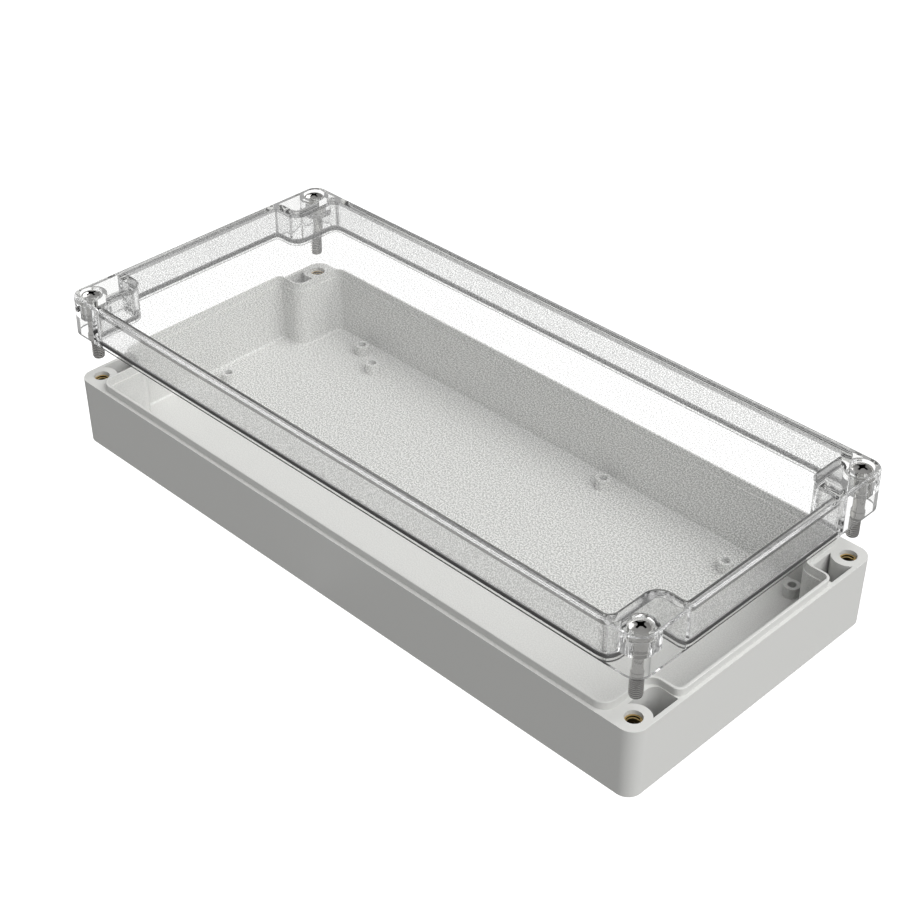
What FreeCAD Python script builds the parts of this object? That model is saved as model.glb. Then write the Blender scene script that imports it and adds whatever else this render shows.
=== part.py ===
"""Flat enclosure: a grey base and a clear lid, drawn with the lid lifted straight off the base.

The lid is held by four captive corner screws that run into brass inserts. The screws stand
outside the seal, so the tongue on the base and the groove in the lid, with its gasket, run
round the four corner blocks in an S. The origin is at the middle of the base's underside,
+X along the long side and +Z up.
"""
import FreeCAD, Part
import math
import os
from FreeCAD import Vector

# Outer form
LENGTH = 360.0
WIDTH = 160.0
CORNER_RADIUS = 7.3
BASE_HEIGHT = 36.5
LID_HEIGHT = 20.5
BASE_DRAFT = 0.6
LID_DRAFT = 0.3
BASE_EDGE_CHAMFER = 0.6
RIM_EDGE_CHAMFER = 0.4
LID_EDGE_RADIUS = 1.5
LID_REST_LIFT = 24.1

# Base walls, from the outside in: rim, tongue, step and cavity
FLOOR_THICKNESS = 3.0
SIDE_RIM_WIDTH = 1.85
END_RIM_WIDTH = 1.5
TONGUE_THICKNESS = 1.2
TONGUE_HEIGHT = 3.8
TONGUE_EDGE = 0.25
STEP_WIDTH = 0.8
STEP_DEPTH = 0.5
CAVITY_EDGE_CHAMFER = 0.8

# Corner blocks outside the seal: how far they reach in, and the radii of the S
BLOCK_LENGTH = 16.5
BLOCK_WIDTH = 29.2
BLOCK_SIDE_RADIUS = 6.5
BLOCK_INNER_RADIUS = 4.7
BLOCK_END_RADIUS = 4.0

# Screw bosses in the base, their brass inserts and the open pockets beside them
SCREW_INSET_X = 7.75
SCREW_INSET_Y = 8.65
BOSS_RADIUS = 7.7
INSERT_DEPTH = 2.0
INSERT_LENGTH = 12.0
INSERT_RADIUS = 3.9
INSERT_LEAD_IN = 0.4
TIP_RELIEF_DEPTH = 3.0
TIP_RELIEF_RADIUS = 3.3
POCKET_WALL = 2.0
POCKET_SEAL_MARGIN = 0.3
POCKET_BLOCK_MARGIN = 2.1
POCKET_CORNER_RADIUS = 4.4
POCKET_HIDDEN_RADIUS = 1.0
POCKET_FLOOR = 4.0
WALL_HOLE_RADIUS = 2.4
WALL_HOLE_INSET_Y = 22.0

# Standoffs for circuit boards, placed from the end and side walls
STANDOFF_RADIUS = 3.8
STANDOFF_HEIGHT = 5.5
STANDOFF_HOLE_RADIUS = 2.1
STANDOFF_HOLE_DEPTH = 5.0
INNER_STANDOFF_INSET_X = 62.5
INNER_STANDOFF_INSET_Y = 20.6
SIDE_STANDOFF_INSET_Y = 12.2
SIDE_STANDOFF_LEFT_INSET = 45.7
SIDE_STANDOFF_RIGHT_INSET = 31.6
SIDE_STANDOFF_MIDDLE_X = 36.3
END_STANDOFF_INSET = 16.4

# Lid, from the outside in: lip, groove with its gasket, inner lip and cavity
LID_TOP_THICKNESS = 2.2
LID_CORNER_WALL = 2.2
LID_SEAL_LIP = 1.8
LID_INNER_LIP = 0.8
GROOVE_CLEARANCE = 0.2
GASKET_DEPTH = 1.1
GASKET_HEIGHT = 2.2
SEAL_GAP = 0.3
LID_CAVITY_CHAMFER = 0.6

# Captive screws and the columns that hold them in the lid
SCREW_RADIUS = 3.0
SCREW_NECK_RADIUS = 2.5
SCREW_HEAD_RADIUS = 4.9
SCREW_HEAD_HEIGHT = 4.3
SCREW_HEAD_CROWN = 1.2
SCREW_HEAD_FLAT_RADIUS = 2.2
SCREW_LENGTH = 36.1
SCREW_THREAD_LENGTH = 14.0
SCREW_NECK_TAPER = 1.0
SCREW_TIP_CHAMFER = 0.3
THREAD_CLEARANCE = 0.05
NECK_CLEARANCE = 0.25
HEAD_SINK = 0.1
HEAD_CLEARANCE = 0.5
HEAD_SEAT_GAP = 0.05
CROSS_SPAN = 5.4
CROSS_WIDTH = 1.1
CROSS_DEPTH = 2.2
COLUMN_RADIUS = 7.5
COLUMN_LENGTH = 6.9

# Heights that follow from the sizes above, with the lid lifted
HALF_LENGTH = LENGTH / 2
HALF_WIDTH = WIDTH / 2
SCREW_X = HALF_LENGTH - SCREW_INSET_X
SCREW_Y = HALF_WIDTH - SCREW_INSET_Y
WALL_HOLE_Y = HALF_WIDTH - WALL_HOLE_INSET_Y
TONGUE_TOP = BASE_HEIGHT + TONGUE_HEIGHT
LID_BOTTOM = TONGUE_TOP + SEAL_GAP - GASKET_DEPTH + LID_REST_LIFT
LID_TOP = LID_BOTTOM + LID_HEIGHT
LID_CEILING = LID_TOP - LID_TOP_THICKNESS
GROOVE_INSET = TONGUE_THICKNESS + GROOVE_CLEARANCE
SCREW_TOP = LID_TOP - HEAD_SINK
HEAD_SEAT = SCREW_TOP - SCREW_HEAD_HEIGHT - HEAD_SEAT_GAP

CORNERS = {
    "front_left": (-1, -1),
    "front_right": (1, -1),
    "rear_right": (1, 1),
    "rear_left": (-1, 1),
}


def rounded_wire(corners, height):
    """Closed wire round (x, y, radius) corners, each turned by an arc tangent to its sides."""
    turns = []
    for index, (x, y, radius) in enumerate(corners):
        corner = Vector(x, y, height)
        before = corners[index - 1]
        after = corners[(index + 1) % len(corners)]
        back = (Vector(before[0], before[1], height) - corner).normalize()
        ahead = (Vector(after[0], after[1], height) - corner).normalize()
        half_angle = back.getAngle(ahead) / 2
        reach = radius / math.tan(half_angle)
        inward = (back + ahead).normalize()
        middle = corner + inward * (radius / math.sin(half_angle) - radius)
        turns.append((corner + back * reach, middle, corner + ahead * reach))
    edges = []
    for index, (start, middle, end) in enumerate(turns):
        edges.append(Part.LineSegment(turns[index - 1][2], start).toShape())
        edges.append(Part.Arc(start, middle, end).toShape())
    return Part.Wire(edges)


def outline(inset, height):
    """The enclosure's rounded rectangle, moved in by an inset."""
    x = HALF_LENGTH - inset
    y = HALF_WIDTH - inset
    radius = CORNER_RADIUS - inset
    return rounded_wire([(x, y, radius), (-x, y, radius), (-x, -y, radius), (x, -y, radius)], height)


def seal_outline(inset, height):
    """The seal's course round the corner blocks, moved in from the tongue's outer face."""
    x = HALF_LENGTH - END_RIM_WIDTH - inset
    y = HALF_WIDTH - SIDE_RIM_WIDTH - inset
    block_x = HALF_LENGTH - BLOCK_LENGTH - inset
    block_y = HALF_WIDTH - BLOCK_WIDTH - inset
    corner = [
        (x, block_y, BLOCK_END_RADIUS - inset),
        (block_x, block_y, BLOCK_INNER_RADIUS + inset),
        (block_x, y, BLOCK_SIDE_RADIUS - inset),
    ]
    points = []
    for side_x, side_y in ((1, 1), (-1, 1), (-1, -1), (1, -1)):
        turn = [(side_x * cx, side_y * cy, radius) for cx, cy, radius in corner]
        points += turn if side_x == side_y else turn[::-1]
    return rounded_wire(points, height)


def prism(wire, height):
    """Solid that stands on a flat wire."""
    return Part.Face(wire).extrude(Vector(0, 0, height))


def tapered(low_wire, high_wire):
    """Solid between two like wires, with straight drafted walls."""
    return Part.makeLoft([low_wire, high_wire], True, True)


def flat_edges(shape, height):
    """The edges of a shape that lie in the level plane at a height."""
    return [
        edge for edge in shape.Edges
        if abs(edge.BoundBox.ZMin - height) < 1e-4 and abs(edge.BoundBox.ZMax - height) < 1e-4
    ]


def upright(radius, x, y, low, high):
    """Upright cylinder between two heights."""
    return Part.makeCylinder(radius, high - low, Vector(x, y, low))


def block(low, high):
    """Box between two opposite corners."""
    low = Vector(*low)
    size = Vector(*high) - low
    return Part.makeBox(size.x, size.y, size.z, low)


def at_corners(x, y):
    """The four places at plus and minus x and y."""
    return [(side_x * x, side_y * y) for side_x, side_y in CORNERS.values()]


def standoff_places():
    """Where the circuit board standoffs stand."""
    places = at_corners(HALF_LENGTH - INNER_STANDOFF_INSET_X, HALF_WIDTH - INNER_STANDOFF_INSET_Y)
    row = (SIDE_STANDOFF_LEFT_INSET - HALF_LENGTH, SIDE_STANDOFF_MIDDLE_X,
           HALF_LENGTH - SIDE_STANDOFF_RIGHT_INSET)
    for side in (-1, 1):
        places += [(x, side * (HALF_WIDTH - SIDE_STANDOFF_INSET_Y)) for x in row]
        places.append((side * (HALF_LENGTH - END_STANDOFF_INSET), 0))
    return places


def base_pockets():
    """The open pockets beside the bosses, inside the outer wall and outside the seal."""
    depth = BASE_HEIGHT - POCKET_FLOOR
    low_x = HALF_LENGTH - BLOCK_LENGTH + POCKET_BLOCK_MARGIN
    low_y = HALF_WIDTH - BLOCK_WIDTH + POCKET_SEAL_MARGIN
    corners = [
        (low_x, low_y, POCKET_CORNER_RADIUS), (HALF_LENGTH, low_y, POCKET_HIDDEN_RADIUS),
        (HALF_LENGTH, SCREW_Y, POCKET_HIDDEN_RADIUS), (low_x, SCREW_Y, POCKET_HIDDEN_RADIUS),
    ]
    pockets = []
    for side_x, side_y in CORNERS.values():
        turn = [(side_x * x, side_y * y, radius) for x, y, radius in corners]
        pockets.append(prism(rounded_wire(turn, POCKET_FLOOR), depth))
    pockets = Part.makeCompound(pockets).common(prism(outline(POCKET_WALL, POCKET_FLOOR), depth))
    pockets = pockets.cut(prism(seal_outline(-POCKET_SEAL_MARGIN, POCKET_FLOOR), depth))
    bosses = [upright(BOSS_RADIUS, x, y, POCKET_FLOOR, BASE_HEIGHT) for x, y in at_corners(SCREW_X, SCREW_Y)]
    return pockets.cut(bosses)


def base_shell():
    """Grey base with its tongue, corner blocks, pockets, bosses and standoffs."""
    shell = tapered(outline(BASE_DRAFT, 0), outline(0, BASE_HEIGHT))
    shell = shell.makeChamfer(BASE_EDGE_CHAMFER, flat_edges(shell, 0))
    shell = shell.makeChamfer(RIM_EDGE_CHAMFER, flat_edges(shell, BASE_HEIGHT))
    tongue = prism(seal_outline(0, FLOOR_THICKNESS), TONGUE_TOP - FLOOR_THICKNESS)
    tongue = tongue.makeChamfer(TONGUE_EDGE, flat_edges(tongue, TONGUE_TOP))
    shell = shell.fuse(tongue)

    step_height = BASE_HEIGHT - STEP_DEPTH
    wall_inset = TONGUE_THICKNESS + STEP_WIDTH
    cavity = prism(seal_outline(wall_inset, FLOOR_THICKNESS), step_height - FLOOR_THICKNESS)
    cavity = cavity.makeChamfer(CAVITY_EDGE_CHAMFER, flat_edges(cavity, FLOOR_THICKNESS))
    mouth = prism(seal_outline(TONGUE_THICKNESS, step_height), TONGUE_TOP - step_height)
    shell = shell.cut([cavity, mouth, base_pockets()])

    standoff_top = FLOOR_THICKNESS + STANDOFF_HEIGHT
    places = standoff_places()
    shell = shell.fuse([upright(STANDOFF_RADIUS, x, y, FLOOR_THICKNESS / 2, standoff_top) for x, y in places])
    drilled = [
        upright(STANDOFF_HOLE_RADIUS, x, y, standoff_top - STANDOFF_HOLE_DEPTH, standoff_top)
        for x, y in places
    ]
    drilled += [upright(WALL_HOLE_RADIUS, x, y, 0, POCKET_FLOOR) for x, y in at_corners(SCREW_X, WALL_HOLE_Y)]
    insert_bottom = BASE_HEIGHT - INSERT_DEPTH - INSERT_LENGTH
    for x, y in at_corners(SCREW_X, SCREW_Y):
        drilled.append(upright(INSERT_RADIUS, x, y, insert_bottom, BASE_HEIGHT))
        drilled.append(upright(TIP_RELIEF_RADIUS, x, y, insert_bottom - TIP_RELIEF_DEPTH, insert_bottom))
    return shell.cut(drilled).removeSplitter()


def brass_insert(x, y):
    """Threaded insert pressed into a boss, with a lead-in for the screw."""
    top = BASE_HEIGHT - INSERT_DEPTH
    bottom = top - INSERT_LENGTH
    bore = SCREW_RADIUS + THREAD_CLEARANCE
    profile = [
        (bore, bottom), (INSERT_RADIUS, bottom), (INSERT_RADIUS, top),
        (bore + INSERT_LEAD_IN, top), (bore, top - INSERT_LEAD_IN),
    ]
    return turned(profile, x, y)


def turned(profile, x, y):
    """Solid turned from a closed (radius, height) profile about an upright axis."""
    points = [Vector(x + radius, y, height) for radius, height in profile]
    face = Part.Face(Part.makePolygon(points + points[:1]))
    return face.revolve(Vector(x, y, 0), Vector(0, 0, 1), 360)


def lid_screw(x, y):
    """Captive screw: crowned head with a cross recess, slim neck, thread and chamfered tip."""
    tip = SCREW_TOP - SCREW_LENGTH
    head_low = SCREW_TOP - SCREW_HEAD_HEIGHT
    thread_top = tip + SCREW_THREAD_LENGTH
    profile = [
        (0, tip), (SCREW_RADIUS - SCREW_TIP_CHAMFER, tip), (SCREW_RADIUS, tip + SCREW_TIP_CHAMFER),
        (SCREW_RADIUS, thread_top), (SCREW_NECK_RADIUS, thread_top + SCREW_NECK_TAPER),
        (SCREW_NECK_RADIUS, head_low), (SCREW_HEAD_RADIUS, head_low),
        (SCREW_HEAD_RADIUS, SCREW_TOP - SCREW_HEAD_CROWN), (SCREW_HEAD_FLAT_RADIUS, SCREW_TOP),
        (0, SCREW_TOP),
    ]
    low = SCREW_TOP - CROSS_DEPTH
    span = CROSS_SPAN / 2
    slot = CROSS_WIDTH / 2
    return turned(profile, x, y).cut([
        block((x - span, y - slot, low), (x + span, y + slot, SCREW_TOP)),
        block((x - slot, y - span, low), (x + slot, y + span, SCREW_TOP)),
    ])


def lid_corner_hollows():
    """The closed-top hollows in the lid's corners, with the screw columns left standing."""
    depth = LID_CEILING - LID_BOTTOM
    hollows = prism(outline(LID_CORNER_WALL, LID_BOTTOM), depth)
    margin = GROOVE_CLEARANCE + LID_SEAL_LIP
    hollows = hollows.cut(prism(seal_outline(-margin, LID_BOTTOM), depth))
    columns = [
        upright(COLUMN_RADIUS, x, y, HEAD_SEAT - COLUMN_LENGTH, LID_CEILING)
        for x, y in at_corners(SCREW_X, SCREW_Y)
    ]
    return hollows.cut(columns)


def lid_shell():
    """Clear lid with its seal groove, corner hollows and screw columns."""
    shell = tapered(outline(0, LID_BOTTOM), outline(LID_DRAFT, LID_TOP))
    shell = shell.makeFillet(LID_EDGE_RADIUS, flat_edges(shell, LID_TOP))
    cavity_inset = GROOVE_INSET + LID_INNER_LIP
    cavity = prism(seal_outline(cavity_inset, LID_BOTTOM), LID_CEILING - LID_BOTTOM)
    cavity = cavity.makeChamfer(LID_CAVITY_CHAMFER, flat_edges(cavity, LID_CEILING))
    shell = shell.cut([cavity, seal_ring(LID_BOTTOM, GASKET_DEPTH + GASKET_HEIGHT), lid_corner_hollows()])
    holes = []
    for x, y in at_corners(SCREW_X, SCREW_Y):
        holes.append(upright(SCREW_HEAD_RADIUS + HEAD_CLEARANCE, x, y, HEAD_SEAT, LID_TOP))
        holes.append(upright(SCREW_NECK_RADIUS + NECK_CLEARANCE, x, y, HEAD_SEAT - COLUMN_LENGTH, HEAD_SEAT))
    return shell.cut(holes).removeSplitter()


def seal_ring(low, height):
    """Ring that follows the seal, as wide as the groove in the lid."""
    ring = prism(seal_outline(-GROOVE_CLEARANCE, low), height)
    return ring.cut(prism(seal_outline(GROOVE_INSET, low), height))


def export(node, shape):
    """Write one solid as its own file."""
    if len(shape.Solids) != 1 or not shape.isValid():
        raise ValueError(f"{node} has {len(shape.Solids)} solids, valid {shape.isValid()}")
    shape.Solids[0].exportStep(f"parts/{node}.step")


os.makedirs("parts", exist_ok=True)
export("base_shell", base_shell())
export("lid_shell", lid_shell())
export("lid_gasket", seal_ring(LID_BOTTOM + GASKET_DEPTH, GASKET_HEIGHT))
for corner, (side_x, side_y) in CORNERS.items():
    export(f"insert_{corner}", brass_insert(side_x * SCREW_X, side_y * SCREW_Y))
    export(f"lid_screw_{corner}", lid_screw(side_x * SCREW_X, side_y * SCREW_Y))
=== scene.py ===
"""A flat electronics enclosure with its clear lid lifted off a light grey base.

The frame gives the pieces at their real size and place. This add-on gives them their finish:
moulded plastic with a fine grain inside, a clear lid, a rubber seal, brass inserts and turned
steel screws, on a white floor under soft studio light.
"""

import math

import bmesh
import bpy
from bpy.props import FloatProperty, FloatVectorProperty, PointerProperty
from bpy.types import Operator, Panel, PropertyGroup
from mathutils import Matrix, Vector


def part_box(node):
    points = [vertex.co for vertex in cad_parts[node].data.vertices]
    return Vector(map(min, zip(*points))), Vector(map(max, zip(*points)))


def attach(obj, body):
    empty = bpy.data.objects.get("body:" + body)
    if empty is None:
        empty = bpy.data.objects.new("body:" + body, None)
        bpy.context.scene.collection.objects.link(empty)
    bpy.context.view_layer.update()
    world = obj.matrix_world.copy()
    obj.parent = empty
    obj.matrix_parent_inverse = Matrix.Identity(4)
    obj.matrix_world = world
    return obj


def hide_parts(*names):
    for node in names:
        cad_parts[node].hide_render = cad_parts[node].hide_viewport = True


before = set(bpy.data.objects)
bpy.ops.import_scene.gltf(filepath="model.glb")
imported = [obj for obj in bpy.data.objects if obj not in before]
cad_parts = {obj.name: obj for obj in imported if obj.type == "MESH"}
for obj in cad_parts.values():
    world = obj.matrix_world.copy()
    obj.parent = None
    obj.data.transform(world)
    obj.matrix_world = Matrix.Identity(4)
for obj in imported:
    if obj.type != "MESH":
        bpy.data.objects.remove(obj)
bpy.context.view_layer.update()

bl_info = {
    "name": "Clear lid enclosure",
    "version": (1, 0, 0),
    "blender": (4, 5, 0),
    "location": "View3D > Sidebar > Enclosure",
    "description": "Finishes a flat enclosure with a clear lid, its seal, screws and inserts",
    "category": "Object",
}

MM = 0.001
CORNERS = ("front_left", "front_right", "rear_right", "rear_left")
SMOOTH_ANGLE = math.radians(32)
FLAT_ANGLE = math.radians(0.2)
WELD = 0.002 * MM
WALL_SLOPE = 0.8

# Heights of the mouldings and the seal in the frame
FLOOR_TOP = 3.0 * MM
TONGUE_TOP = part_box("base_shell")[1].z
RIM_TOP = TONGUE_TOP - 3.8 * MM
RIM_CHAMFER = 0.4 * MM
RIM_CRISPNESS = 0.75
SEAL_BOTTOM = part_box("lid_gasket")[0].z
SEAL_VISIBLE = 1.6 * MM
LID_WALL_FOOT = SEAL_BOTTOM - 0.2 * MM
LID_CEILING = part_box("lid_shell")[1].z - 2.2 * MM
# Height of the smooth band next to the lid's plate that gets painted shade
POLISHED_SHADED_BAND = 2.2 * MM

# Grain and sheen of the plastics and the rubber; the glows are painted light on the lid's grain
BASE_MOTTLE = 0.2
RUBBER_MOTTLE = 0.15
BASE_SPREAD = 0.18
LID_SPREAD = 0.06
SKIN_GRAIN = 0.25 * MM
SKIN_SHARE = 0.05
RUBBER_GRAIN = 0.4 * MM
SKIN_DEPTH = 0.03 * MM
CLEAR_GLOW = 0.03
WALL_GLOW = 0.12
GRAIN_GLOW = 0.8
GRAIN_GLOW_LOST = 0.3
WALL_GRAIN_SHARE = 0.5

# Tool marks of the metals, and painted shade in their recesses and between thread turns
METAL_MOTTLE = 0.04
TOOL_MARK_STRETCH = (0.2, 0.2, 6.0)
TOOL_MARK_SCALE = 900.0
TOOL_MARK_SHEEN = 0.08
TOOL_MARK_DEPTH = 0.001 * MM
METAL_IN_PAINTED_SHADE = 0.06
THREAD_SHADE = 0.65

# Thread ridge, with its half widths as shares of the pitch
RIDGE_FOOT = 0.45
RIDGE_MIDDLE = 0.26
RIDGE_CREST = 0.07
RIDGE_SUNK = 0.06 * MM

# Screw, from the top of its head down
ROUND_STEPS = 48
CROWN_STEPS = 6
FINE_EDGE = 0.15 * MM
HEAD_RADIUS = 4.9 * MM
HEAD_RIM = 4.8 * MM
HEAD_CROWN = 1.3 * MM
HEAD_HEIGHT = 4.3 * MM
NECK_RADIUS = 2.5 * MM
NECK_LENGTH = 21.1 * MM
COLLAR_RADIUS = 2.98 * MM
COLLAR_CONE = 1.1 * MM
COLLAR_EDGE = 0.1 * MM
COLLAR_FOOT = 0.5 * MM
THREAD_START = 25.7 * MM
THREAD_PITCH = 1.0 * MM
CORE_RADIUS = 2.58 * MM
CREST_RADIUS = 3.0 * MM
SCREW_LENGTH = 36.1 * MM
TIP_CHAMFER = 0.2 * MM
CROSS_SPAN = 6.6 * MM
CROSS_WIDTH = 1.2 * MM
CROSS_MIDDLE = 1.5 * MM
CROSS_DEPTH = 2.3 * MM
CROSS_TAPER = (0.4, 0.6, 1.0)
CUTTER_HEIGHT = 1.2 * CROSS_DEPTH
ARM_MIDDLE = -0.4 * CROSS_DEPTH
CONE_MIDDLE = -0.41 * CROSS_DEPTH
CROSS_MARGIN = 0.12 * MM

# Threaded insert
INSERT_RADIUS = 3.9 * MM
INSERT_BORE = 3.06 * MM
INSERT_CREST = 2.68 * MM
BORE_MARGIN = 0.05 * MM
# Depth in an insert's hole below which it gets painted shade
PAINTED_SHADE_DEPTH = 1.3 * MM
LID_TRAVEL = 24.1 * MM

# Stage
HORIZON_BLUR = 0.08
FLOOR_GAP = 0.05 * MM


# Settings that a user would change


class StageSettings(PropertyGroup):
    """Camera, floor and light."""

    eye: FloatVectorProperty(
        name="Eye", description="Place of the camera", subtype="TRANSLATION",
        default=(0.5042, -0.5044, 0.5462),
    )
    azimuth: FloatProperty(
        name="Azimuth", description="Direction that the camera looks from, from the long side",
        subtype="ANGLE", default=math.radians(45),
    )
    elevation: FloatProperty(
        name="Elevation", description="Height of the camera above the horizon",
        subtype="ANGLE", default=math.radians(35.264),
    )
    lens: FloatProperty(
        name="Lens", description="Focal length on a 36 mm wide sensor, in millimetres",
        default=75.67,
    )
    floor_radius: FloatProperty(
        name="Floor radius", description="Radius of the white floor", unit="LENGTH", default=20.0,
    )
    floor_glow: FloatProperty(
        name="Floor glow", description="Brightness of the white floor", default=1.25,
    )
    key_strength: FloatProperty(
        name="Key light", description="Strength of the wide soft light", default=2.65,
    )
    key_direction: FloatVectorProperty(
        name="Key direction", description="Where the wide soft light stands",
        subtype="DIRECTION", default=(0.61, 0.04, 0.79),
    )
    key_spread: FloatProperty(
        name="Key spread", description="Angle across the wide soft light",
        subtype="ANGLE", default=math.radians(70),
    )
    card_direction: FloatVectorProperty(
        name="Card direction", description="Where the reflected white card stands",
        subtype="DIRECTION", default=(-0.86, 0.09, 0.5),
    )
    card_distance: FloatProperty(
        name="Card distance", description="Distance of the card", unit="LENGTH", default=3.0,
    )
    card_radius: FloatProperty(
        name="Card radius", description="Radius of the card", unit="LENGTH", default=1.0,
    )
    card_glow: FloatProperty(
        name="Card glow", description="Brightness of the card", default=2.6,
    )
    below: FloatProperty(
        name="Room below", description="Brightness of the room under the horizon", default=0.4,
    )
    above: FloatProperty(
        name="Room above", description="Brightness of the room just over the horizon",
        default=0.18,
    )
    overhead: FloatProperty(
        name="Overhead", description="How much brighter the room is straight overhead",
        default=0.26,
    )


class PlasticSettings(PropertyGroup):
    """Grey base."""

    colour: FloatVectorProperty(
        name="Colour", description="Colour of the grey moulding", subtype="COLOR",
        default=(0.755, 0.757, 0.735),
    )
    roughness: FloatProperty(
        name="Roughness", description="Roughness of the moulded skin", default=0.5,
    )
    grain: FloatProperty(
        name="Grain", description="Size of the grain inside", unit="LENGTH", default=0.6 * MM,
    )
    contrast: FloatProperty(
        name="Grain contrast", description="How much the grain shows inside", default=0.35,
    )


class LidSettings(PropertyGroup):
    """Clear lid."""

    colour: FloatVectorProperty(
        name="Colour", description="Tint of the clear plastic", subtype="COLOR",
        default=(0.985, 0.987, 0.985),
    )
    grain: FloatProperty(
        name="Grain", description="Size of the grain inside", unit="LENGTH",
        default=0.65 * MM,
    )
    depth: FloatProperty(
        name="Grain depth", description="Height of the grain on the inner walls", unit="LENGTH",
        default=0.01 * MM,
    )
    tint: FloatProperty(
        name="Wall tint", description="How much the inner walls darken", default=0.35,
    )
    # Strength of the painted shade in the band next to the plate
    edge_painted_shade: FloatProperty(
        name="Edge tint", description="How much darker the walls are next to the plate",
        default=0.5,
    )
    contrast: FloatProperty(
        name="Grain contrast", description="How much the grain shows inside", default=0.4,
    )
    # Strength of the painted glow that stands in for light the lid's grain scatters
    painted_haze: FloatProperty(
        name="Haze", description="Light that the grained surfaces of the lid scatter",
        default=0.25,
    )


class SealSettings(PropertyGroup):
    """Rubber seal."""

    colour: FloatVectorProperty(
        name="Colour", description="Colour of the rubber", subtype="COLOR",
        default=(0.04, 0.04, 0.04),
    )


class MetalSettings(PropertyGroup):
    """Steel screws and brass inserts."""

    steel: FloatVectorProperty(
        name="Steel", description="Colour of the screws", subtype="COLOR",
        default=(0.72, 0.71, 0.69),
    )
    brass: FloatVectorProperty(
        name="Brass", description="Colour of the inserts", subtype="COLOR",
        default=(0.80, 0.58, 0.25),
    )


# Shader maths and materials


class Socket:
    """An output of a shader node. Arithmetic on it adds Math nodes to its tree."""

    def __init__(self, tree, output):
        self.tree = tree
        self.output = output

    def maths(self, operation, first, second):
        return add_node(self.tree, "ShaderNodeMath", {"operation": operation}, {0: first, 1: second})

    def __add__(self, other):
        return self.maths("ADD", self, other)

    def __radd__(self, other):
        return self.maths("ADD", other, self)

    def __sub__(self, other):
        return self.maths("SUBTRACT", self, other)

    def __rsub__(self, other):
        return self.maths("SUBTRACT", other, self)

    def __mul__(self, other):
        return self.maths("MULTIPLY", self, other)

    def __rmul__(self, other):
        return self.maths("MULTIPLY", other, self)

    def __gt__(self, other):
        return self.maths("GREATER_THAN", self, other)

    def __lt__(self, other):
        return self.maths("LESS_THAN", self, other)


def add_node(tree, kind, settings, values, output=0):
    """Adds a node, sets it up, fills or links its sockets and returns one of its outputs."""
    node = tree.nodes.new(kind)
    for name, setting in settings.items():
        setattr(node, name, setting)
    for name, value in values.items():
        if isinstance(value, Socket):
            tree.links.new(value.output, node.inputs[name])
        else:
            node.inputs[name].default_value = value
    return Socket(tree, node.outputs[output])


class Finish:
    """A material under construction, with its coordinates and its nodes."""

    def __init__(self, name):
        self.material = bpy.data.materials.new(name)
        self.material.use_nodes = True
        self.tree = self.material.node_tree
        self.tree.nodes.clear()
        self.place = self.node("ShaderNodeTexCoord", {}, {}, "Object")

    def node(self, kind, settings, values, output=0):
        return add_node(self.tree, kind, settings, values, output)

    def noise(self, size, detail=2.0, roughness=0.5):
        values = {"Vector": self.place, "Scale": 1.0 / size, "Detail": detail, "Roughness": roughness}
        return self.node("ShaderNodeTexNoise", {}, values, "Fac")

    def speckle(self, size, spread):
        """Noise from 0 to 1. A small spread leaves few tones between."""
        values = {"Value": self.noise(size, 1.0), "From Min": 0.5 - spread, "From Max": 0.5 + spread}
        return self.node("ShaderNodeMapRange", {"clamp": True}, values)

    def height(self):
        return self.node("ShaderNodeSeparateXYZ", {}, {"Vector": self.place}, "Z")

    def attribute(self, name):
        return self.node("ShaderNodeAttribute", {"attribute_name": name}, {}, "Fac")

    def bump(self, height, depth):
        return self.node("ShaderNodeBump", {}, {"Height": height, "Distance": depth})

    def mix(self, factor, first, second):
        settings = {"data_type": "RGBA"}
        return self.node("ShaderNodeMix", settings, {0: factor, 6: first, 7: second}, 2)

    def mottle(self, factor, colour, share):
        """A colour that is darker or lighter by up to a share of itself."""
        return self.mix(factor, rgba(colour, 1.0 - share), rgba(colour, 1.0 + share))

    def close(self, values):
        surface = self.node("ShaderNodeBsdfPrincipled", {}, values)
        self.node_output(surface)
        return self.material

    def node_output(self, surface):
        output = self.tree.nodes.new("ShaderNodeOutputMaterial")
        self.tree.links.new(surface.output, output.inputs["Surface"])


def rgba(colour, factor=1.0):
    return tuple(factor * part for part in colour) + (1.0,)


def base_plastic(settings):
    """Light grey moulded plastic: smooth outside, a fine spark-eroded grain inside."""
    finish = Finish("base_plastic")
    inside = finish.attribute("inside")
    grain = finish.speckle(settings.grain, BASE_SPREAD)
    skin = finish.noise(SKIN_GRAIN, 1.0)
    tone = (grain - 0.5) * inside * settings.contrast + 0.5
    return finish.close({
        "Base Color": finish.mottle(tone, settings.colour, BASE_MOTTLE),
        "Roughness": settings.roughness,
        "Specular IOR Level": 0.4,
        "Normal": finish.bump(grain * inside + skin * SKIN_SHARE, SKIN_DEPTH),
    })


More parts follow.
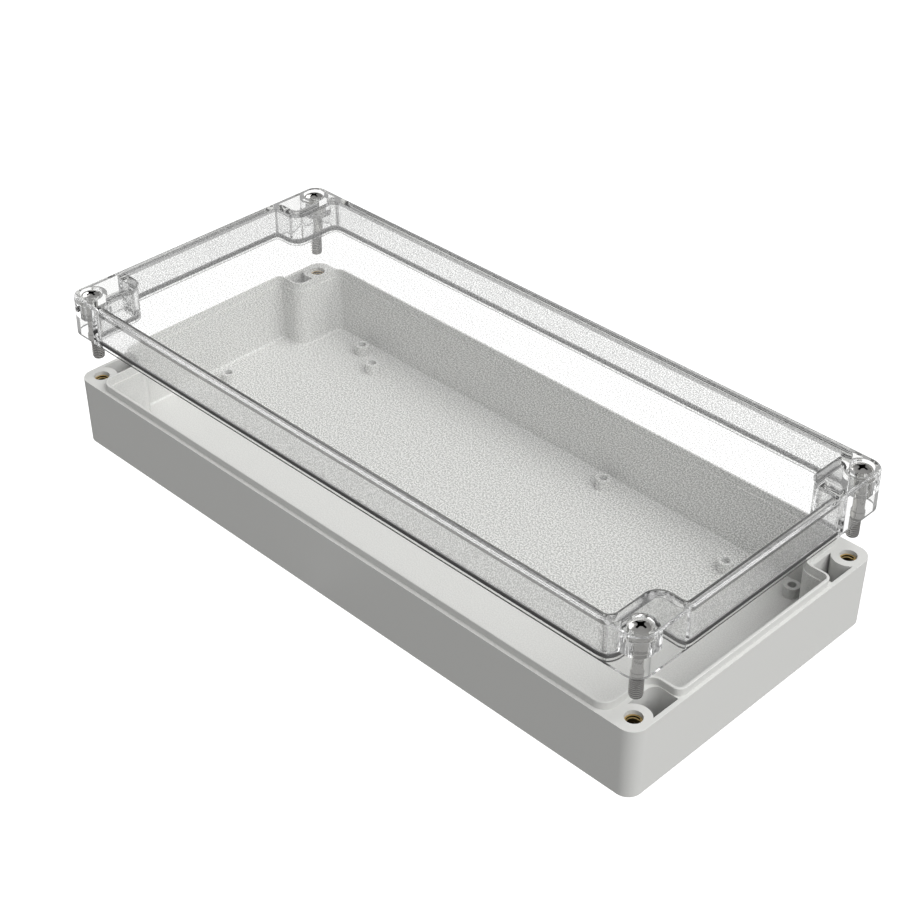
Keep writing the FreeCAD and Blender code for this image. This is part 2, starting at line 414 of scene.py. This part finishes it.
def clear_plastic(settings):
    """Clear moulded plastic, polished outside and finely grained inside.

    The inner walls are tinted, and smooth and darker still in a band next to the plate,
    where the darkening is painted shade. The grained faces carry a painted glow, emission
    standing in for the light their grain scatters.
    """
    finish = Finish("clear_lid")
    wall = finish.attribute("wall")
    band = wall * (finish.height() > LID_CEILING - POLISHED_SHADED_BAND)
    inside = finish.attribute("inside") - band
    grain = finish.speckle(settings.grain, LID_SPREAD)
    # Darkened by grain tone, the walls' tint and painted shade in the band next to the plate
    shade = inside * (1.0 - grain) * settings.contrast * (1.0 - WALL_GRAIN_SHARE * wall)
    shade = shade + wall * settings.tint + band * settings.edge_painted_shade
    tone = finish.mix(shade, rgba(settings.colour), rgba(settings.colour, 0.0))
    # Painted glow on the grained faces: a little everywhere, more on the walls, and on the grain's
    # light specks
    sparkle = grain * (GRAIN_GLOW - GRAIN_GLOW_LOST * wall)
    glow = inside * (CLEAR_GLOW + WALL_GLOW * wall + sparkle)
    return finish.close({
        "Base Color": tone,
        "Roughness": 0.0,
        "IOR": 1.585,
        "Transmission Weight": 1.0,
        "Emission Color": finish.mix(glow, rgba(settings.colour, 0.0), rgba(settings.colour)),
        "Emission Strength": settings.painted_haze,
        "Normal": finish.bump(grain * (wall - band), settings.depth),
    })


def seal_rubber(settings):
    """Dark soft rubber with a faint skin."""
    finish = Finish("gasket_rubber")
    skin = finish.noise(RUBBER_GRAIN)
    return finish.close({
        "Base Color": finish.mottle(skin, settings.colour, RUBBER_MOTTLE),
        "Roughness": 0.6,
        "Normal": finish.bump(skin, SKIN_DEPTH),
    })


def turned_metal(name, colour, roughness):
    """Machined metal with faint tool marks round the axis, and painted shade where faces are marked.
    """
    finish = Finish(name)
    bright = 1.0 - finish.attribute("painted_shade")
    stretched = {"Vector": finish.place, "Scale": TOOL_MARK_STRETCH}
    marks = finish.node("ShaderNodeMapping", {}, stretched)
    values = {"Vector": marks, "Scale": TOOL_MARK_SCALE, "Detail": 3.0}
    streaks = finish.node("ShaderNodeTexNoise", {}, values, "Fac")
    metal = finish.mottle(streaks, colour, METAL_MOTTLE)
    return finish.close({
        # Faces marked with painted shade turn dark
        "Base Color": finish.mix(bright, rgba(colour, METAL_IN_PAINTED_SHADE), metal),
        "Metallic": 1.0,
        "Roughness": roughness + TOOL_MARK_SHEEN * streaks,
        "Normal": finish.bump(streaks, TOOL_MARK_DEPTH),
    })


def glowing_white(name, strength, reflected):
    """White that shows no shade. Past a reflection it has the strength called reflected."""
    finish = Finish(name)
    bounced = finish.node("ShaderNodeLightPath", {}, {}, "Glossy Depth") > 0.5
    glow = strength + (reflected - strength) * bounced
    white = (1.0, 1.0, 0.995, 1.0)
    surface = finish.node("ShaderNodeEmission", {}, {"Color": white, "Strength": glow})
    finish.node_output(surface)
    return finish.material


# Meshes


def new_piece(name, bm, material):
    """Puts a finished bmesh in the scene under a name, with one material."""
    bm.normal_update()
    for face in bm.faces:
        face.smooth = True
    for edge in bm.edges:
        edge.smooth = edge.calc_face_angle(math.pi) < SMOOTH_ANGLE
    mesh = bpy.data.meshes.new(name)
    bm.to_mesh(mesh)
    bm.free()
    mesh.materials.clear()
    mesh.materials.append(material)
    piece = bpy.data.objects.new(name, mesh)
    bpy.context.scene.collection.objects.link(piece)
    even = piece.modifiers.new("even_shading", "WEIGHTED_NORMAL")
    even.keep_sharp = True
    even.weight = 100
    return piece


def welded_copy(node):
    """A CAD node's triangles as one connected bmesh."""
    bm = bmesh.new()
    bm.from_mesh(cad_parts[node].data)
    bmesh.ops.remove_doubles(bm, verts=bm.verts, dist=WELD)
    bmesh.ops.dissolve_limit(
        bm, angle_limit=FLAT_ANGLE, use_dissolve_boundaries=False,
        verts=bm.verts, edges=bm.edges, delimit={"NORMAL"},
    )
    return bm


def mark_inside(bm, start, low, high):
    """Marks the faces of a cavity, and apart from them its walls, as face attributes.

    The cavity is what can be reached from its largest flat face at the height start, over
    faces whose middles lie between low and high.
    """
    inside = bm.faces.layers.float.new("inside")
    wall = bm.faces.layers.float.new("wall")
    bm.normal_update()
    flat = [face for face in bm.faces if abs(face.calc_center_median().z - start) < WELD]
    seed = max(flat, key=lambda face: face.calc_area())
    reached = {seed}
    front = [seed]
    while front:
        face = front.pop()
        face[inside] = 1.0
        face[wall] = float(abs(face.normal.z) < WALL_SLOPE)
        for other in (near for edge in face.edges for near in edge.link_faces):
            if other not in reached and low < other.calc_center_median().z < high:
                reached.add(other)
                front.append(other)


def crisp_rim(bm):
    """Draws the chamfer round the top of the base's outer wall in to a crisp edge."""
    low = RIM_TOP - RIM_CHAMFER
    for edge in bm.edges:
        foot, head = sorted(edge.verts, key=lambda vert: vert.co.z)
        if abs(foot.co.z - low) < WELD and abs(head.co.z - RIM_TOP) < WELD:
            out = (foot.co - head.co) * RIM_CRISPNESS
            head.co += Vector((out.x, out.y, 0.0))
            foot.co.z += RIM_CHAMFER * RIM_CRISPNESS


def turn(bm, outline, closed=False):
    """Spins an outline of radius and height round the Z axis into a closed skin."""
    verts = [bm.verts.new((radius, 0.0, height)) for radius, height in outline]
    pairs = list(zip(verts, verts[1:]))
    if closed:
        pairs.append((verts[-1], verts[0]))
    edges = [bm.edges.new(pair) for pair in pairs]
    bmesh.ops.spin(
        bm, geom=verts + edges, cent=(0, 0, 0), axis=(0, 0, 1), dvec=(0, 0, 0),
        angle=2 * math.pi, steps=ROUND_STEPS, use_merge=True, use_duplicate=False,
    )
    bmesh.ops.remove_doubles(bm, verts=bm.verts, dist=WELD)
    bmesh.ops.recalc_face_normals(bm, faces=bm.faces)


def mark_painted_shade(bm, shade):
    """Marks each face's painted shade, as shade gives it from the radius and height."""
    painted_shade = bm.faces.layers.float.new("painted_shade")
    for face in bm.faces:
        middle = face.calc_center_median()
        face[painted_shade] = shade(math.hypot(middle.x, middle.y), middle.z)


def add_thread(bm, root, crest, low, high, phase):
    """Winds a ridge from the radius root to the radius crest between two heights.

    It runs out flat at both ends, and phase moves its start up.
    """
    foot = root + math.copysign(RIDGE_SUNK, root - crest)
    middle = (foot + crest) / 2
    section = [
        (foot, -RIDGE_FOOT), (foot, RIDGE_FOOT), (middle, RIDGE_MIDDLE),
        (crest, RIDGE_CREST), (crest, -RIDGE_CREST), (middle, -RIDGE_MIDDLE),
    ]
    start = low + phase + THREAD_PITCH / 2
    turns = math.floor((high - start) / THREAD_PITCH * ROUND_STEPS) / ROUND_STEPS - 0.5
    old = set(bm.verts)
    verts = [bm.verts.new((radius, 0.0, start + part * THREAD_PITCH)) for radius, part in section]
    face = bm.faces.new(verts)
    bmesh.ops.spin(
        bm, geom=verts + list(face.edges) + [face], cent=(0, 0, 0), axis=(0, 0, 1),
        dvec=(0, 0, THREAD_PITCH / ROUND_STEPS), angle=2 * math.pi * turns,
        steps=round(turns * ROUND_STEPS), use_merge=False, use_duplicate=False,
    )
    ridge = [vert for vert in bm.verts if vert not in old]
    run_out = abs(root - crest) / THREAD_PITCH
    for vert in ridge:
        radius = math.hypot(vert.co.x, vert.co.y)
        rise = max(0.0, min(vert.co.z - low, high - vert.co.z) * run_out)
        reach = min(abs(radius - root), rise) if (radius - root) * (crest - root) > 0 else None
        if reach is not None:
            wanted = root + math.copysign(reach, crest - root)
            vert.co.x *= wanted / radius
            vert.co.y *= wanted / radius
    bmesh.ops.recalc_face_normals(bm, faces=list({f for vert in ridge for f in vert.link_faces}))


def baked(piece):
    """The mesh of a piece with its modifiers applied. The piece and its cutters are removed."""
    graph = bpy.context.evaluated_depsgraph_get()
    mesh = bpy.data.meshes.new_from_object(piece.evaluated_get(graph))
    cutters = [cut.object for cut in piece.modifiers if cut.type == "BOOLEAN"]
    for done in [piece] + cutters:
        bpy.data.objects.remove(done)
    return mesh


class ENCLOSURE_OT_base(Operator):
    """Finish the grey base"""

    bl_idname = "enclosure.base"
    bl_label = "Base"

    def execute(self, context):
        material = base_plastic(context.scene.enclosure_plastic)
        bm = welded_copy("base_shell")
        mark_inside(bm, FLOOR_TOP, 0.0, TONGUE_TOP - WELD)
        crisp_rim(bm)
        piece = new_piece("base", bm, material)
        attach(piece, "base")
        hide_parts("base_shell")
        return {"FINISHED"}


class ENCLOSURE_OT_lid(Operator):
    """Finish the clear lid"""

    bl_idname = "enclosure.lid"
    bl_label = "Lid"

    def execute(self, context):
        material = clear_plastic(context.scene.enclosure_lid)
        bm = welded_copy("lid_shell")
        mark_inside(bm, LID_CEILING, LID_WALL_FOOT, LID_CEILING + MM)
        piece = new_piece("lid", bm, material)
        piece.visible_shadow = False
        piece.visible_diffuse = False
        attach(piece, "lid")
        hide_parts("lid_shell")
        return {"FINISHED"}


class ENCLOSURE_OT_seal(Operator):
    """Finish the rubber seal"""

    bl_idname = "enclosure.seal"
    bl_label = "Seal"

    def execute(self, context):
        material = seal_rubber(context.scene.enclosure_seal)
        bm = welded_copy("lid_gasket")
        for vert in bm.verts:
            vert.co.z = min(vert.co.z, SEAL_BOTTOM + SEAL_VISIBLE)
        piece = new_piece("seal", bm, material)
        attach(piece, "lid")
        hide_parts("lid_gasket")
        return {"FINISHED"}


class ENCLOSURE_OT_screws(Operator):
    """Model the four captive screws: domed head, cross recess, neck, collar and thread"""

    bl_idname = "enclosure.screws"
    bl_label = "Screws"

    def execute(self, context):
        steel = turned_metal("screw_steel", context.scene.enclosure_metal.steel, 0.15)
        pattern = self.pattern(steel)
        for corner in CORNERS:
            node = "lid_screw_" + corner
            low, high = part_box(node)
            axis = (low + high) / 2
            bm = bmesh.new()
            bm.from_mesh(pattern)
            bmesh.ops.translate(bm, verts=bm.verts, vec=(axis.x, axis.y, high.z))
            piece = new_piece("screw_" + corner, bm, steel)
            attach(piece, "screw_" + corner)
            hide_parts(node)
        return {"FINISHED"}

    def pattern(self, steel):
        """One screw on the Z axis with the top of its head at height 0."""
        bm = bmesh.new()
        turn(bm, self.outline())
        shank = new_piece("shank", bm, steel)
        arms = [self.cross_arm(along, steel) for along in ("X", "Y")]
        for cutter in arms + [self.cross_middle(steel)]:
            cut = shank.modifiers.new(cutter.name, "BOOLEAN")
            cut.operation = "DIFFERENCE"
            cut.object = cutter
        mesh = baked(shank)
        bm = bmesh.new()
        bm.from_mesh(mesh)
        add_thread(bm, CORE_RADIUS, CREST_RADIUS, -SCREW_LENGTH, -THREAD_START, 0.0)
        mark_painted_shade(bm, self.shade)
        bm.to_mesh(mesh)
        bm.free()
        return mesh

    def shade(self, radius, height):
        """Painted shade at a place on the screw: in the cross recess and between the threads."""
        sunk = -CROSS_DEPTH - WELD < height < self.crown(radius) - CROSS_MARGIN
        if sunk and radius < CROSS_SPAN / 2:
            return 1.0
        return THREAD_SHADE * (height < -THREAD_START and radius < (CORE_RADIUS + CREST_RADIUS) / 2)

    def crown(self, radius):
        """Height of the domed head at a radius."""
        ball = (HEAD_RIM ** 2 + HEAD_CROWN ** 2) / (2 * HEAD_CROWN)
        return math.sqrt(max(0.0, ball ** 2 - radius ** 2)) - ball

    def outline(self):
        """Radius and height along the screw, from the middle of the head to the tip."""
        angles = [math.radians(90 * step / CROWN_STEPS) for step in range(CROWN_STEPS + 1)]
        radii = [HEAD_RIM * math.sin(angle) for angle in angles]
        crown = [(radius, self.crown(radius)) for radius in radii]
        tip = -SCREW_LENGTH
        return crown + [
            (HEAD_RADIUS, -HEAD_CROWN - FINE_EDGE),
            (HEAD_RADIUS, -HEAD_HEIGHT),
            (NECK_RADIUS, -HEAD_HEIGHT),
            (NECK_RADIUS, -NECK_LENGTH),
            (COLLAR_RADIUS - COLLAR_EDGE, -NECK_LENGTH - COLLAR_CONE),
            (COLLAR_RADIUS, -NECK_LENGTH - COLLAR_CONE - FINE_EDGE),
            (COLLAR_RADIUS, -THREAD_START + COLLAR_FOOT),
            (CORE_RADIUS, -THREAD_START),
            (CORE_RADIUS, tip + TIP_CHAMFER),
            (CORE_RADIUS - TIP_CHAMFER, tip),
            (0.0, tip),
        ]

    def cross_arm(self, along, material):
        """A tapered bar that cuts one slot of the cross recess."""
        bm = bmesh.new()
        bmesh.ops.create_cube(bm, size=1.0)
        size = (CROSS_SPAN, CROSS_WIDTH, CUTTER_HEIGHT)
        bmesh.ops.scale(bm, verts=bm.verts, vec=size)
        bmesh.ops.translate(bm, verts=bm.verts, vec=(0, 0, ARM_MIDDLE))
        foot = [vert for vert in bm.verts if vert.co.z < ARM_MIDDLE]
        bmesh.ops.scale(bm, verts=foot, vec=CROSS_TAPER)
        if along == "Y":
            bmesh.ops.rotate(bm, verts=bm.verts, matrix=Matrix.Rotation(math.pi / 2, 3, "Z"))
        return new_piece("cross_arm_" + along, bm, material)

    def cross_middle(self, material):
        """A cone that widens the middle of the cross recess."""
        bm = bmesh.new()
        bmesh.ops.create_cone(
            bm, cap_ends=True, segments=16, radius1=0.5 * CROSS_MIDDLE, radius2=CROSS_MIDDLE,
            depth=CUTTER_HEIGHT, matrix=Matrix.Translation((0, 0, CONE_MIDDLE)),
        )
        return new_piece("cross_middle", bm, material)


class ENCLOSURE_OT_inserts(Operator):
    """Model the four brass inserts with their threaded bores"""

    bl_idname = "enclosure.inserts"
    bl_label = "Inserts"

    def execute(self, context):
        brass = turned_metal("insert_brass", context.scene.enclosure_metal.brass, 0.25)
        for corner in CORNERS:
            node = "insert_" + corner
            low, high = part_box(node)
            axis = (low + high) / 2
            length = high.z - low.z
            bm = bmesh.new()
            turn(bm, self.outline(length), closed=True)
            add_thread(bm, INSERT_BORE, INSERT_CREST, -length, 0.0, self.phase())
            mark_painted_shade(bm, self.shade)
            bmesh.ops.translate(bm, verts=bm.verts, vec=(axis.x, axis.y, high.z))
            piece = new_piece("threaded_" + node, bm, brass)
            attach(piece, "base")
            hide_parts(node)
        return {"FINISHED"}

    def shade(self, radius, height):
        """Painted shade at a place on the insert: deep in its hole, below its lit upper part."""
        return float(radius < INSERT_BORE + BORE_MARGIN and height < -PAINTED_SHADE_DEPTH)

    def phase(self):
        """Height of the thread's start that meshes with the screw when the lid is closed."""
        screw_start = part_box("lid_screw_front_left")[0].z - LID_TRAVEL
        insert_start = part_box("insert_front_left")[0].z
        return (screw_start - insert_start + THREAD_PITCH / 2) % THREAD_PITCH

    def outline(self, length):
        """Radius and height round the section of the insert, without its thread."""
        return [
            (INSERT_BORE + FINE_EDGE, 0.0),
            (INSERT_RADIUS - FINE_EDGE, 0.0),
            (INSERT_RADIUS, -FINE_EDGE),
            (INSERT_RADIUS, -length + FINE_EDGE),
            (INSERT_RADIUS - FINE_EDGE, -length),
            (INSERT_BORE + FINE_EDGE, -length),
            (INSERT_BORE, -length + FINE_EDGE),
            (INSERT_BORE, -FINE_EDGE),
        ]


class ENCLOSURE_OT_stage(Operator):
    """Set the camera, the white floor and the soft light"""

    bl_idname = "enclosure.stage"
    bl_label = "Stage"

    def execute(self, context):
        settings = context.scene.enclosure_stage
        self.add_floor(settings)
        self.add_card(settings)
        self.add_key(settings)
        self.set_sky(context.scene, settings)
        self.add_camera(context.scene, settings)
        context.scene.view_settings.view_transform = "Standard"
        light_paths = context.scene.cycles
        light_paths.max_bounces = 48
        light_paths.transmission_bounces = 32
        light_paths.glossy_bounces = 32
        light_paths.diffuse_bounces = 1
        return {"FINISHED"}

    def add_floor(self, settings):
        bm = bmesh.new()
        bmesh.ops.create_circle(bm, cap_ends=True, segments=64, radius=settings.floor_radius)
        white = glowing_white("floor_white", settings.floor_glow, settings.below)
        floor = new_piece("floor", bm, white)
        floor.data.transform(Matrix.Translation((0, 0, -FLOOR_GAP)))
        floor.visible_diffuse = False
        floor.visible_shadow = False

    def add_card(self, settings):
        """A white card, seen only in reflections, that lights up the screw heads."""
        bm = bmesh.new()
        bmesh.ops.create_circle(bm, cap_ends=True, segments=64, radius=settings.card_radius)
        white = glowing_white("card_white", settings.card_glow, settings.card_glow)
        card = new_piece("card", bm, white)
        toward = Vector(settings.card_direction).normalized()
        turned = toward.to_track_quat("Z", "Y").to_matrix().to_4x4()
        card.data.transform(Matrix.Translation(settings.card_distance * toward) @ turned)
        card.visible_camera = False
        card.visible_diffuse = False
        card.visible_transmission = False
        card.visible_shadow = False

    def add_key(self, settings):
        """A wide soft light that shows in no reflection and not through the lid."""
        lamp = bpy.data.lights.new("key", "SUN")
        lamp.energy = settings.key_strength
        lamp.angle = settings.key_spread
        key = bpy.data.objects.new("key", lamp)
        key.rotation_euler = Vector(settings.key_direction).to_track_quat("Z", "Y").to_euler()
        key.visible_glossy = False
        key.visible_transmission = False
        bpy.context.scene.collection.objects.link(key)

    def set_sky(self, scene, settings):
        world = bpy.data.worlds.new("room")
        scene.world = world
        world.use_nodes = True
        tree = world.node_tree
        tree.nodes.clear()
        place = add_node(tree, "ShaderNodeTexCoord", {}, {}, "Generated")
        height = add_node(tree, "ShaderNodeSeparateXYZ", {}, {"Vector": place}, "Z")
        room = settings.above + settings.overhead * height
        values = {"Value": height, "From Min": -HORIZON_BLUR, "From Max": HORIZON_BLUR}
        sky = add_node(tree, "ShaderNodeMapRange", {"clamp": True}, values)
        strength = settings.below + sky * (room - settings.below)
        surface = add_node(tree, "ShaderNodeBackground", {}, {"Strength": strength})
        output = tree.nodes.new("ShaderNodeOutputWorld")
        tree.links.new(surface.output, output.inputs["Surface"])

    def add_camera(self, scene, settings):
        camera = bpy.data.objects.new("camera", bpy.data.cameras.new("camera"))
        camera.data.sensor_width = 36.0
        camera.data.lens = settings.lens
        camera.data.clip_end = 100.0
        camera.location = settings.eye
        camera.rotation_euler = (math.pi / 2 - settings.elevation, 0.0, settings.azimuth)
        scene.collection.objects.link(camera)
        scene.camera = camera


class ENCLOSURE_PT_pieces(Panel):
    """Lists the pieces of the enclosure and the stage"""

    bl_idname = "ENCLOSURE_PT_pieces"
    bl_label = "Enclosure"
    bl_space_type = "VIEW_3D"
    bl_region_type = "UI"
    bl_category = "Enclosure"

    def draw(self, context):
        for operator in OPERATORS:
            self.layout.operator(operator.bl_idname)


OPERATORS = (
    ENCLOSURE_OT_base,
    ENCLOSURE_OT_lid,
    ENCLOSURE_OT_seal,
    ENCLOSURE_OT_screws,
    ENCLOSURE_OT_inserts,
    ENCLOSURE_OT_stage,
)
SETTINGS = {
    "enclosure_plastic": PlasticSettings,
    "enclosure_lid": LidSettings,
    "enclosure_seal": SealSettings,
    "enclosure_metal": MetalSettings,
    "enclosure_stage": StageSettings,
}


def register():
    for kind in (*SETTINGS.values(), *OPERATORS, ENCLOSURE_PT_pieces):
        bpy.utils.register_class(kind)
    for name, kind in SETTINGS.items():
        setattr(bpy.types.Scene, name, PointerProperty(type=kind))


def unregister():
    for name in SETTINGS:
        delattr(bpy.types.Scene, name)
    for kind in (ENCLOSURE_PT_pieces, *reversed(OPERATORS), *SETTINGS.values()):
        bpy.utils.unregister_class(kind)


def main():
    register()
    bpy.ops.enclosure.base()
    bpy.ops.enclosure.lid()
    bpy.ops.enclosure.seal()
    bpy.ops.enclosure.screws()
    bpy.ops.enclosure.inserts()
    bpy.ops.enclosure.stage()


if __name__ == "__main__":
    main()
